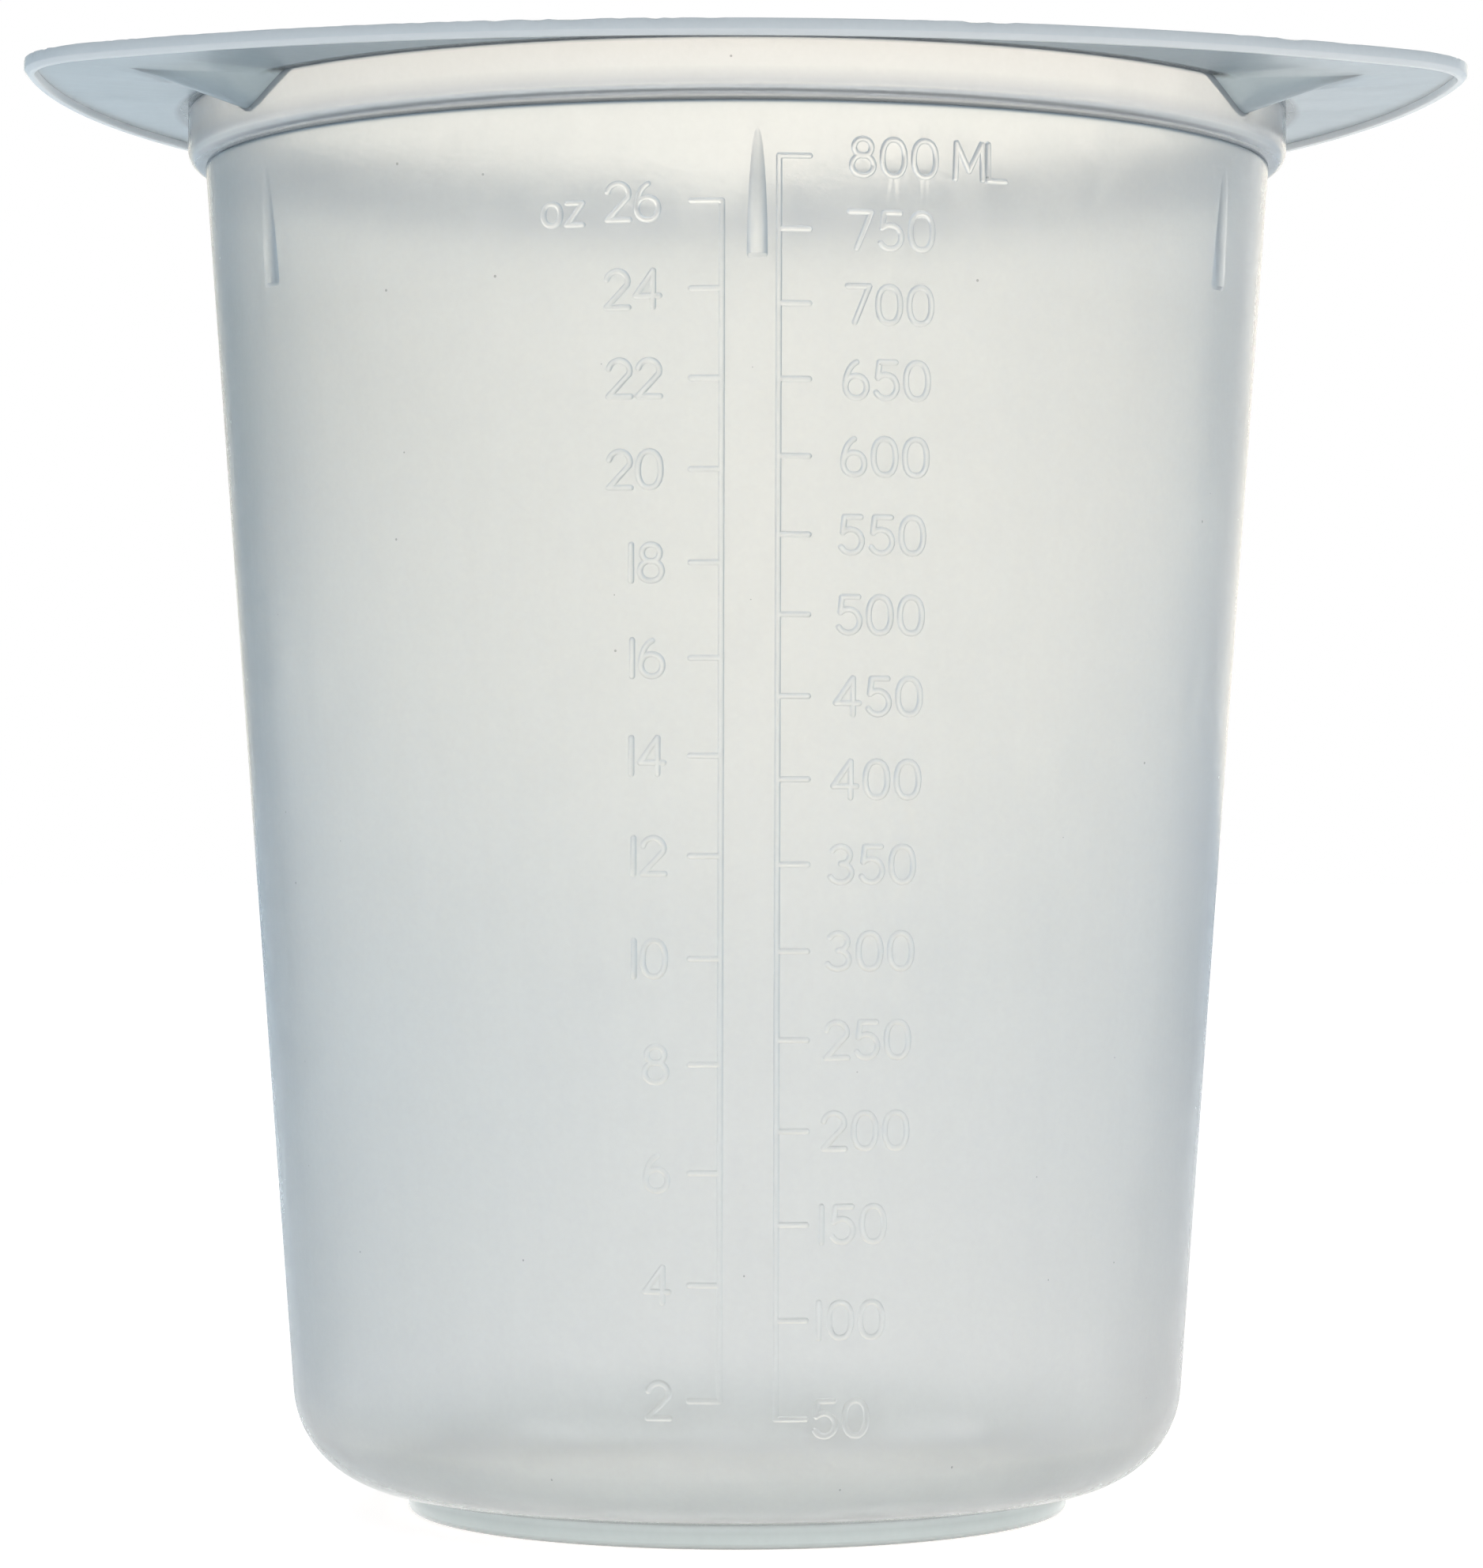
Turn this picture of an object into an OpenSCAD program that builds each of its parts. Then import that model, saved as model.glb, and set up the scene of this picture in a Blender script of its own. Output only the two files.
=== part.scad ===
// Translucent moulded measuring beaker with a flat three-cornered rim.
// Every corner of the rim carries a V-shaped pouring channel.
// The origin is on the cup's axis, in the plane that the foot ring rests on.
// -Y faces the graduations, and +Z points up. All lengths are millimetres.

/* [Cup] */
// Height of the step where the plain wall ends and the wider neck begins
wall_h = 129.65; // [110:0.05:150]
// Outer radius that the tapered wall would have in the resting plane
base_r = 42.2; // [40:0.1:46]
// Outer radius at the top of the tapered wall
mouth_r = 51.6; // [50:0.1:54]
// Thickness of the moulded wall
wall_t = 1.0; // [0.8:0.1:1.4]

/* [Base] */
// Outer radius of the rounded bottom corner
heel_r = 10.0; // [8:0.5:12]
// Height of the floor's underside above the resting plane
foot_h = 2.45; // [1.5:0.05:4]
// Outer radius of the foot ring where it rests
foot_r = 31.95; // [26:0.05:32.5]
// Width of the foot ring
foot_w = 2.0; // [1.5:0.1:4]
// Rounding of the foot ring's outer bottom edge
foot_edge = 0.6; // [0.2:0.1:0.8]

/* [Rim] */
// Radius added by the step below the neck
step_w = 1.7; // [1.5:0.1:2.5]
// Height of the neck from the step's top to the rim plate's underside
neck_h = 3.6; // [3.4:0.1:8]
// Thickness of the rim plate
plate_t = 0.85; // [0.6:0.05:1.4]
// Distance from the axis to the middle of each side of the rim
rim_mid = 58.0; // [57.5:0.1:60]
// Distance from the axis to the tip of each corner of the rim
rim_tip = 74.3; // [72:0.1:76]
// Radius of each corner of the rim
tip_r = 13.0; // [10:0.5:15]
// Depth that the edge bead hangs below the rim plate
lip_drop = 0.4; // [0.2:0.1:1]
// Width of the edge bead
lip_w = 1.2; // [1:0.1:1.6]

/* [Pouring channels] */
// Depth of a channel below the rim plate where it leaves the neck
spout_d = 3.0; // [2:0.1:3.2]
// Half of a channel's width at the rim plate where it leaves the neck
spout_hw = 5.8; // [5:0.1:8]
// Length of a channel from the neck to where it runs out
spout_l = 11.9; // [9:0.1:13]

/* [Stacking ribs] */
// Number of ribs round the wall
rib_n = 6; // [3:1:8]
// Height of the ribs' flat lower ends
rib_z = 115.9; // [100:0.1:118]
// Height of each rib above its lower end, where it dies into the wall
rib_h = 11.4; // [8:0.1:12]
// Radius of each rib's rounded face
rib_r = 0.94; // [0.7:0.02:1.4]

/* [Graduations] */
// Largest volume mark in millilitres
ml_top = 800; // [400:50:800]
// Step between the millilitre marks
ml_step = 50; // [25:25:100]
// Largest volume mark in fluid ounces
oz_top = 26; // [12:2:26]
// Step between the fluid ounce marks
oz_step = 2; // [1:1:2]
// Height that the marks stand proud of the wall
mark_h = 0.25; // [0.15:0.05:0.4]
// Width of a mark's stroke
mark_w = 0.5; // [0.4:0.05:0.8]
// Length of each tick
tick_l = 2.7; // [2:0.1:3.5]
// Distance of the millilitre scale's line from the centre plane
ml_x = 1.9; // [1.6:0.1:3]
// Distance of the fluid ounce scale's line from the centre plane
oz_x = 3.1; // [1.6:0.1:4]

/* [Hidden] */
$fn = 96;

// Taper of the wall, and its thickness measured level
k = (mouth_r - base_r) / wall_h;
alpha = atan(k);
level_t = wall_t * sqrt(1 + k * k);
function wall_r(z) = base_r + k * z;

// Centre of the bottom corner's arcs
heel_z = foot_h + heel_r;
heel_c = wall_r(heel_z) - heel_r * sqrt(1 + k * k);

// Points where the corner's arcs meet the wall
heel_out = [heel_c + heel_r * cos(alpha), heel_z - heel_r * sin(alpha)];
heel_in = [heel_c + (heel_r - wall_t) * cos(alpha),
           heel_z - (heel_r - wall_t) * sin(alpha)];

// Neck and rim levels
neck_r = mouth_r + step_w;
step_z = wall_h + step_w;
plate_z = step_z + neck_h;
top_z = plate_z + plate_t;

// Radius of the rim's long sides, from the corner's place and the mid width
corner_m = rim_tip - tip_r;
corner_k = corner_m / 2 - rim_mid;
side_r = (tip_r * tip_r - corner_m * corner_m * 0.75 - corner_k * corner_k)
         / (2 * (corner_k + tip_r));
side_a = atan2(corner_m * sin(60), corner_m * cos(60) + side_r - rim_mid);

// Directions of the three pouring corners, measured from +X
spout_left_a = 210;
spout_right_a = 330;
spout_rear_a = 90;
spout_slope = atan(spout_d / spout_l);
// How far the channel's inner faces stand above its outer ones
spout_t = wall_t * sqrt(1 + pow(spout_d / spout_hw, 2));

// Volume held up to the corner's centre height, then up to any height above
in_r = heel_r - wall_t;
heel_v = PI * (heel_c * heel_c * in_r + heel_c * PI / 2 * in_r * in_r
               + 2 / 3 * pow(in_r, 3));
in_r0 = wall_r(heel_z) - level_t;
function mark_z(ml) = heel_z
    + (pow(pow(in_r0, 3) + 3 * k * (ml * 1000 - heel_v) / PI, 1 / 3) - in_r0) / k;
oz_ml = 29.5735;

// Colours of the milky plastic
c_wall = [0.86, 0.88, 0.87, 0.75];
c_rim = [0.76, 0.81, 0.85, 0.8];
c_neck = [0.92, 0.92, 0.88, 0.8];
c_foot = [0.82, 0.85, 0.86, 0.85];

// A ring whose corners are given as [radius, height]
module turned(points, fn = 180) {
    rotate_extrude($fn = fn) polygon(points);
}

// Disc whose near edge is one long side, less what lies past one corner
module rim_side(a, far, cut) {
    rotate([0, 0, a])
        intersection() {
            translate([0, side_r - rim_mid]) circle(r = far, $fn = 720);
            rotate([0, 0, -30]) translate([-250, -250]) square([250 + cut, 500]);
        }
}

// Outline of the rim, moved inwards by d. One side faces -Y.
module rim_outline(d) {
    far = side_r - d;
    cut = corner_m + (tip_r - d) * cos(60 - side_a);
    union() {
        // Three long arcs, with their sharp meeting points cut off straight
        intersection() {
            rim_side(0, far, cut);
            rim_side(120, far, cut);
            rim_side(240, far, cut);
        }
        for (i = [0:2])
            rotate([0, 0, -30 + i * 120])
                translate([corner_m, 0]) circle(r = tip_r - d, $fn = 240);
    }
}

// Three-cornered V prism that widens from the tip of one channel inwards.
// lift moves it up along the axis.
module spout_prism(a, lift) {
    s = 12;
    rotate([0, 0, a])
        translate([neck_r, 0, plate_z - spout_d + lift])
            rotate([0, -spout_slope, 0])
                rotate([90, 0, 90])
                    translate([0, 0, -20])
                        linear_extrude(height = 60)
                            polygon([[0, 0], [spout_hw * s / spout_d, s],
                                     [-spout_hw * s / spout_d, s]]);
}

// Material of one channel: below the rim's top and outside the neck's bore
module pour_spout(a) {
    color(c_rim)
        difference() {
            intersection() {
                spout_prism(a, 0);
                rotate([0, 0, a]) translate([40, -20, plate_z - 6])
                    cube([40, 40, 6 + plate_t]);
            }
            spout_prism(a, spout_t);
            translate([0, 0, plate_z - 10])
                cylinder(r = neck_r - wall_t, h = 20, $fn = 180);
        }
}

module cup_wall() {
    color(c_wall)
        turned([heel_out, [mouth_r, wall_h], [mouth_r - level_t, wall_h], heel_in]);
}

module heel() {
    color(c_wall)
        rotate_extrude($fn = 180)
            intersection() {
                translate([heel_c, heel_z])
                    difference() {
                        circle(r = heel_r, $fn = 96);
                        circle(r = heel_r - wall_t, $fn = 96);
                    }
                translate([heel_c, heel_z])
                    polygon([[0, 0], [0, -heel_r * 2],
                             [heel_r * 2, -heel_r * 2],
                             [heel_r * 2, -heel_r * 2 * k]]);
            }
}

module base_floor() {
    color(c_wall)
        translate([0, 0, foot_h]) cylinder(r = heel_c, h = wall_t, $fn = 180);
}

module foot_ring() {
    color(c_foot)
        rotate_extrude($fn = 180)
            union() {
                polygon([[foot_r - foot_w, 0], [foot_r - foot_edge, 0],
                         [foot_r, foot_edge], [foot_r + 0.35, foot_h],
                         [foot_r - foot_w - 0.2, foot_h]]);
                intersection() {
                    translate([foot_r - foot_edge, foot_edge])
                        circle(r = foot_edge, $fn = 48);
                    translate([foot_r - foot_edge, 0])
                        square([foot_edge, foot_edge]);
                }
            }
}

module shoulder_step() {
    color(c_neck)
        rotate_extrude($fn = 180)
            union() {
                translate([mouth_r, step_z])
                    intersection() {
                        difference() {
                            circle(r = step_w, $fn = 96);
                            circle(r = step_w - wall_t, $fn = 96);
                        }
                        translate([0, -step_w * 2]) square([step_w * 2, step_w * 2]);
                    }
                polygon([[mouth_r - level_t, wall_h], [mouth_r, wall_h],
                         [mouth_r, wall_h + wall_t]]);
            }
}

module neck_band() {
    color(c_neck)
        difference() {
            translate([0, 0, step_z])
                difference() {
                    cylinder(r = neck_r, h = neck_h, $fn = 180);
                    translate([0, 0, -1])
                        cylinder(r = neck_r - wall_t, h = neck_h + 2, $fn = 180);
                }
            for (a = [spout_left_a, spout_right_a, spout_rear_a]) spout_prism(a, 0);
        }
}

module rim_flange() {
    color(c_rim)
        difference() {
            translate([0, 0, plate_z])
                linear_extrude(height = plate_t) rim_outline(lip_w);
            translate([0, 0, plate_z - 1])
                cylinder(r = neck_r - wall_t, h = plate_t + 2, $fn = 180);
            for (a = [spout_left_a, spout_right_a, spout_rear_a]) spout_prism(a, 0);
        }
}

module rim_lip() {
    color(c_rim)
        difference() {
            translate([0, 0, plate_z - lip_drop])
                linear_extrude(height = plate_t + lip_drop) rim_outline(0);
            translate([0, 0, plate_z - lip_drop - 1])
                linear_extrude(height = plate_t + lip_drop + 2) rim_outline(lip_w);
        }
}

module pour_spout_left() { pour_spout(spout_left_a); }
module pour_spout_right() { pour_spout(spout_right_a); }
module pour_spout_rear() { pour_spout(spout_rear_a); }

// Ribs: upright round bars that stand out of the taper and die into it
module stacking_ribs() {
    rib_out = wall_r(rib_z + rib_h);
    color(c_wall)
        difference() {
            for (i = [0:rib_n - 1])
                rotate([0, 0, i * 360 / rib_n - 90])
                    translate([rib_out - rib_r, 0, rib_z])
                        cylinder(r = rib_r, h = rib_h, $fn = 180);
            turned([[0, rib_z - 2], [wall_r(rib_z - 2), rib_z - 2],
                    [wall_r(rib_z + rib_h + 2), rib_z + rib_h + 2],
                    [0, rib_z + rib_h + 2]], 1440);
        }
}

// Thin skin over the wall that the marks are cut from
module mark_skin() {
    turned([[wall_r(10), 10], [wall_r(10) + mark_h, 10],
            [wall_r(wall_h - 1) + mark_h, wall_h - 1], [wall_r(wall_h - 1), wall_h - 1]]);
}

// One upright line with ticks. dir is 1 towards +X and -1 towards -X.
module scale_marks(x, dir, tops) {
    lo = tops[0];
    hi = tops[len(tops) - 1];
    intersection() {
        mark_skin();
        rotate([90, 0, 0])
            linear_extrude(height = 70)
                union() {
                    translate([x - mark_w / 2, lo - mark_w / 2])
                        square([mark_w, hi - lo + mark_w]);
                    for (z = tops)
                        translate([dir > 0 ? x : x - tick_l, z - mark_w / 2])
                            square([tick_l, mark_w]);
                }
    }
}

module ml_scale() {
    color(c_foot)
        scale_marks(ml_x, 1, [for (v = [50:ml_step:ml_top]) mark_z(v)]);
}

module oz_scale() {
    color(c_foot)
        scale_marks(-oz_x, -1, [for (v = [2:oz_step:oz_top]) mark_z(v * oz_ml)]);
}

cup_wall();
heel();
base_floor();
foot_ring();
shoulder_step();
neck_band();
rim_flange();
rim_lip();
pour_spout_left();
pour_spout_right();
pour_spout_rear();
stacking_ribs();
ml_scale();
oz_scale();
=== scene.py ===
import math

import bpy
import numpy as np
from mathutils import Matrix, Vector
from mathutils.geometry import delaunay_2d_cdt


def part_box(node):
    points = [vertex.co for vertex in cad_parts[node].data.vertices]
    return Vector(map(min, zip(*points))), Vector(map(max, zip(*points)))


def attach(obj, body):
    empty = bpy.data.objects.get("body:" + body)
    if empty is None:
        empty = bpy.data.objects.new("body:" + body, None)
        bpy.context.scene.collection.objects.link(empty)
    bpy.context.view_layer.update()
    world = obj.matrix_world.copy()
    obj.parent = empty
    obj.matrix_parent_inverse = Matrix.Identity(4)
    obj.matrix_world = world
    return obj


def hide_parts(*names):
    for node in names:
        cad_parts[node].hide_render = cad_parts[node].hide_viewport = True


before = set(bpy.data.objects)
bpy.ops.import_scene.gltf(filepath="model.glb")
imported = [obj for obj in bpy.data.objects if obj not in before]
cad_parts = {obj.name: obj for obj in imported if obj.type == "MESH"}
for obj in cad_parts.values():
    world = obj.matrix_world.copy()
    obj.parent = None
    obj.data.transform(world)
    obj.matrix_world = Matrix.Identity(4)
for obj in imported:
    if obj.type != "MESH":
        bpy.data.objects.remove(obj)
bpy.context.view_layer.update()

MM = 0.001
RNG = np.random.default_rng(7)


# ---------------------------------------------------------------- dimensions
# Some levels and radii are read from the imported nodes, the rest are given; all in millimetres.
def box_mm(node):
    lo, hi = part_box(node)
    return np.array(lo) / MM, np.array(hi) / MM


_wall_lo, _wall_hi = box_mm("cup_wall")
_plate_lo, _plate_hi = box_mm("rim_flange")
_lip_lo, _lip_hi = box_mm("rim_lip")
_foot_lo, _foot_hi = box_mm("foot_ring")
_neck_lo, _neck_hi = box_mm("neck_band")
_floor_lo, _floor_hi = box_mm("base_floor")
_rib_lo, _rib_hi = box_mm("stacking_ribs")
_ml_lo, _ml_hi = box_mm("ml_scale")

WALL_H = _wall_hi[2]  # the crease where wall meets step
MOUTH_R = _wall_hi[0]
BASE_R = 42.2
WALL_T = _floor_hi[2] - _floor_lo[2]
FOOT_H = _foot_hi[2]
FOOT_R = 31.95
FOOT_W = 2.0
FOOT_EDGE = 0.6
HEEL_R = 10.0
NECK_R = _neck_hi[0]
STEP_W = NECK_R - MOUTH_R
STEP_Z = WALL_H + STEP_W
PLATE_Z = _plate_lo[2]
TOP_Z = _plate_hi[2]
LIP_Z = _lip_lo[2]
LIP_W = 1.2
RIM_MID, RIM_TIP, TIP_R = 58.0, 74.3, 13.0
SPOUT_D, SPOUT_HW, SPOUT_L = 3.0, 5.8, 11.9
RIB_Z, RIB_H, RIB_R = _rib_lo[2], _rib_hi[2] - _rib_lo[2], 0.94
MARK_H, MARK_W, TICK_L, ML_X, OZ_X = 0.25, 0.5, 2.7, 1.9, 3.1

K = (MOUTH_R - BASE_R) / WALL_H
SQ = math.sqrt(1 + K * K)
ALPHA = math.atan(K)
NECK_IN = NECK_R - WALL_T


def wall_r(z):
    return BASE_R + K * z


HEEL_Z = FOOT_H + HEEL_R
HEEL_C = wall_r(HEEL_Z) - HEEL_R * SQ
IN_R = HEEL_R - WALL_T
HEEL_V = math.pi * (HEEL_C**2 * IN_R + HEEL_C * math.pi / 2 * IN_R**2 + 2 / 3 * IN_R**3)
IN_R0 = wall_r(HEEL_Z) - WALL_T * SQ


def mark_z(ml):
    """Height at which the cup holds this volume."""
    return HEEL_Z + ((IN_R0**3 + 3 * K * (ml * 1000 - HEEL_V) / math.pi) ** (1 / 3) - IN_R0) / K


# ------------------------------------------------------------ outline of rim
CORNER_M = RIM_TIP - TIP_R
_ck = CORNER_M / 2 - RIM_MID
SIDE_R = (TIP_R**2 - CORNER_M**2 * 0.75 - _ck**2) / (2 * (_ck + TIP_R))
SIDE_A = math.atan2(CORNER_M * math.sin(math.pi / 3), CORNER_M * 0.5 + SIDE_R - RIM_MID)
# polar angle, from the middle of a side, where the side arc meets the corner arc
_tx = (SIDE_R) * math.cos(SIDE_A) - (SIDE_R - RIM_MID)
_ty = (SIDE_R) * math.sin(SIDE_A)


def outline_rho(t, d):
    """Distance from the axis to the rim outline, moved in by d. t is the angle from the front, in radians."""
    s = (t + math.pi / 3) % (2 * math.pi / 3) - math.pi / 3  # from the nearest side's middle
    s = abs(s)
    # side arc: centre lies on the far side of the axis
    c = SIDE_R - RIM_MID
    r = SIDE_R - d
    rho = -c * math.cos(s) + math.sqrt(r * r - (c * math.sin(s)) ** 2)
    x, y = rho * math.cos(s), rho * math.sin(s)
    if math.atan2(y, x + c) > SIDE_A:
        q = math.pi / 3 - s
        r = TIP_R - d
        rho = CORNER_M * math.cos(q) + math.sqrt(max(r * r - (CORNER_M * math.sin(q)) ** 2, 0))
    return rho


# ------------------------------------------------------------- spout surface
SPOUT_S = SPOUT_D / SPOUT_L
SPOUT_K = SPOUT_D / SPOUT_HW
SPOUT_T = WALL_T * math.sqrt(1 + SPOUT_K**2)


def smin(a, b, k):
    h = max(k - abs(a - b), 0.0) / k
    return min(a, b) - h * h * k * 0.25


def corner_angle(t):
    """Angle from the nearest pouring corner, signed."""
    return (t - math.pi / 3 + math.pi / 3) % (2 * math.pi / 3) - math.pi / 3


def vee(rho, t, lift):
    p = corner_angle(t)
    u, v = rho * math.cos(p), abs(rho * math.sin(p))
    if u < 0:
        return 1e6
    v = math.sqrt(v * v + 1.6) - 0.8  # the keel is rounded
    return PLATE_Z - SPOUT_D + lift + SPOUT_S * (u - NECK_R) + v * SPOUT_K


def z_under(rho, t):
    return smin(PLATE_Z, vee(rho, t, 0.0), 0.22)


def z_upper(rho, t):
    return smin(TOP_Z, vee(rho, t, SPOUT_T), 0.22)


def rho_join(t, lift, level, low):
    """Where a channel's face meets the plate, along one direction from the axis."""
    p = abs(corner_angle(t))
    rise = level - (PLATE_Z - SPOUT_D + lift)
    den = math.sin(p) * SPOUT_K + SPOUT_S * math.cos(p)
    if p > 0.3:
        return low
    return max((rise + SPOUT_S * NECK_R) / den, low)


# ------------------------------------------------------------------- profile
def arc(cx, cz, r, a0, a1, n):
    """Points on a circle, angles in degrees, both ends included."""
    a = np.radians(np.linspace(a0, a1, n))
    return [(cx + r * math.cos(x), cz + r * math.sin(x)) for x in a]


def rounded(p0, p1, p2, r, n):
    """Corner p1 of a polyline replaced by an arc of radius r."""
    a, b, c = (np.array(p, float) for p in (p0, p1, p2))
    u, v = (a - b) / np.linalg.norm(a - b), (c - b) / np.linalg.norm(c - b)
    half = math.acos(np.clip(u @ v, -1, 1)) / 2
    d = r / math.tan(half)
    centre = b + (u + v) / np.linalg.norm(u + v) * r / math.sin(half)
    s, e = b + u * d - centre, b + v * d - centre
    w = math.acos(np.clip(s @ e / r / r, -1, 1))
    out = []
    for i in range(n):
        t = i / (n - 1)
        q = (math.sin((1 - t) * w) * s + math.sin(t * w) * e) / math.sin(w)
        out.append(tuple(centre + q))
    return out


FLOOR_Z = FOOT_H + WALL_T
F_IN = FOOT_R - FOOT_W
GAP = 0.012  # half the hairline between two pieces
LAP = 0.012  # neck and plate run this far into each other, as they are one plastic
HEEL_STEP = math.radians(90 - math.degrees(ALPHA)) / 28
N_WALL = 31

# cup: underside, heel, outer wall, then down the inside
under_side = [(2.2, FOOT_H), (5.5, FOOT_H), (9.0, FOOT_H), (14.0, FOOT_H), (20.0, FOOT_H), (26.0, FOOT_H), (29.5, FOOT_H)]
cup_out = under_side + arc(HEEL_C, HEEL_Z, HEEL_R, -90, -math.degrees(ALPHA), 29)
J_WALL0 = len(cup_out) - 1
cup_out += [(wall_r(z), z) for z in np.linspace(cup_out[-1][1], WALL_H - 0.45, N_WALL)][1:]
J_WALL1 = len(cup_out) - 1
cup_out += [(wall_r(WALL_H - d), WALL_H - d) for d in (0.26, 0.13, GAP)]
cup_in = [(wall_r(WALL_H) - WALL_T * SQ, WALL_H - GAP), (wall_r(WALL_H - 0.26) - WALL_T * SQ, WALL_H - 0.26)]
for z in np.linspace(WALL_H - 1.0, HEEL_Z - IN_R * math.sin(ALPHA), 18):
    cup_in.append((wall_r(z) - WALL_T * SQ, z))
cup_in += arc(HEEL_C, HEEL_Z, IN_R, -math.degrees(ALPHA), -90, 17)[1:]
cup_in += [(26.0, FLOOR_Z), (18.0, FLOOR_Z), (9.0, FLOOR_Z), (2.2, FLOOR_Z)]
fixed_out = cup_out


def cup_column(t):
    return cup_out + cup_in


def foot_column(t):
    top = FOOT_H + 0.015
    pts = [(FOOT_R - FOOT_EDGE - 0.4, 0.0)]
    pts += arc(FOOT_R - FOOT_EDGE, FOOT_EDGE, FOOT_EDGE, -90, 0, 8)
    pts += [(FOOT_R + 0.07, FOOT_H * 0.4), (FOOT_R + 0.15, FOOT_H * 0.62)]
    pts += arc(FOOT_R + 0.66, top - 0.5, 0.5, 178, 100, 7)
    pts += [(FOOT_R + 0.6, top), (F_IN - 0.45, top), (F_IN - 0.2, top - 0.25), (F_IN - 0.05, FOOT_H * 0.4)]
    pts += arc(F_IN + 0.25, 0.28, 0.28, 180, 270, 5)
    return pts


def collar_column(t):
    """Quarter-round step and upright neck."""
    pts = [(MOUTH_R - WALL_T * SQ, WALL_H + GAP), (MOUTH_R, WALL_H + GAP)]
    pts += arc(MOUTH_R, STEP_Z + GAP, STEP_W, -87, 0, 20)
    zt = z_under(NECK_R, t) + LAP
    zi = z_under(NECK_IN, t) + LAP
    for f in (0.3, 0.62, 0.9, 0.955):
        pts.append((NECK_R, STEP_Z + GAP + (zt - STEP_Z - GAP) * f))
    pts.append((NECK_R, zt))
    for f in (0.33, 0.67):
        r = NECK_R + (NECK_IN - NECK_R) * f
        pts.append((r, z_under(r, t) + LAP))
    pts.append((NECK_IN, zi))
    for f in (0.67, 0.33, 0.08):
        pts.append((NECK_IN, STEP_Z + (zi - STEP_Z) * f))
    pts += arc(MOUTH_R, STEP_Z, STEP_W - WALL_T, 0, -84, 7)
    return pts


def rim_column(t):
    """Plate and channels, up to the bead."""
    e = 0.3
    pts = [(NECK_IN, z_under(NECK_IN, t) - LAP)]
    for r in (NECK_IN + 0.33, NECK_IN + 0.67, NECK_R, NECK_R + 0.12):
        pts.append((r, z_under(r, t) - LAP * (r < NECK_R)))
    lo_r = NECK_R + 0.22
    pts.append((lo_r, z_under(lo_r, t)))
    end = outline_rho(t, LIP_W + GAP)
    rj = rho_join(t, 0.0, PLATE_Z, lo_r + 1.1)
    rj = min(rj, end - 0.9)
    for s in (0.25, 0.5, 0.75):
        r = lo_r + (rj - e - lo_r) * s
        pts.append((r, z_under(r, t)))
    for r in (rj - e, rj - e * 0.45, rj, rj + e * 0.45, rj + e):
        pts.append((r, z_under(r, t)))
    for s in (0.35, 0.7, 1.0):
        r = rj + e + (end - rj - e) * s
        pts.append((r, z_under(r, t)))
    pts.append((end, TOP_Z))
    g = 0.25
    lo_t = NECK_IN + g
    rj = min(rho_join(t, SPOUT_T, TOP_Z, lo_t + 1.1), end - 0.9)
    for s in (0.7, 0.35):
        r = rj + e + (end - rj - e) * s
        pts.append((r, z_upper(r, t)))
    for r in (rj + e, rj + e * 0.45, rj, rj - e * 0.45, rj - e):
        pts.append((r, z_upper(r, t)))
    for s in (0.75, 0.5, 0.25):
        r = lo_t + (rj - e - lo_t) * s
        pts.append((r, z_upper(r, t)))
    for a in (0, 25, 50, 70, 90):
        a = math.radians(a)
        r = NECK_IN + g * (1 - math.sin(a))
        pts.append((r, z_upper(r, t) - g * (1 - math.cos(a))))
    return pts


def lip_column(t):
    """Bead round the plate's edge. Its upper outer edge is a little ragged, from the mould."""
    low = LIP_Z - 0.2
    h = PLATE_Z - low
    rag = ragged(t)
    pts = [(outline_rho(t, LIP_W - GAP), z) for z in (TOP_Z, TOP_Z - 0.42, PLATE_Z)]
    for d, z in ((LIP_W - 0.10, PLATE_Z - 0.12), (LIP_W - 0.16, PLATE_Z - h * 0.62), (LIP_W - 0.25, PLATE_Z - h * 0.9),
                 (LIP_W - 0.42, low)):
        pts.append((outline_rho(t, d), z))
    r2 = 0.14
    under = [(LIP_W - 0.42, low), (0.40, low), (0.0, low + 0.42), (0.0, low + 0.9)]
    for d, z in rounded(*under[:3], 0.22, 4) + rounded(*under[1:], 0.22, 4):
        pts.append((outline_rho(t, max(d, 0.0)), z))
    pts.append((outline_rho(t, 0.0), low + 0.9))
    for a in np.linspace(0, 90, 5):
        a = math.radians(a)
        pts.append((outline_rho(t, r2 - r2 * math.cos(a) + rag * 0.8), TOP_Z - r2 + r2 * math.sin(a) - rag))
    pts.append((outline_rho(t, 0.5), TOP_Z - rag * 0.3))
    return pts


_rag_knots = RNG.random(1440)
_rag_zone = RNG.random(40)


def ragged(t):
    """Depth of the nicks in the lip's upper edge at one direction, in mm."""
    p = (t / (2 * math.pi) * 1440) % 1440
    i = int(p)
    f = p - i
    v = _rag_knots[i] * (1 - f) + _rag_knots[(i + 1) % 1440] * f
    q = (t / (2 * math.pi) * 40) % 40
    j = int(q)
    g = q - j
    zone = _rag_zone[j] * (1 - g) + _rag_zone[(j + 1) % 40] * g
    return max(0.0, v - 0.45) * max(0.0, zone - 0.35) * 0.45


# angles of the columns, from the front (-Y) and turning towards +X
cols = set()
for i in range(480):
    cols.add(round(i * 0.75, 4))
for c in (60, 180, 300):
    for e in (0.12, 0.25, 0.4, 0.57, 1.0, 1.25, 6.4, 7.1, 7.9, 8.6):
        cols.add(round((c + e) % 360, 4))
        cols.add(round((c - e) % 360, 4))
COLS = np.array(sorted(cols))
NC = len(COLS)


def place(rho, t, z):
    return (rho * math.sin(t) * MM, -rho * math.cos(t) * MM, z * MM)


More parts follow.
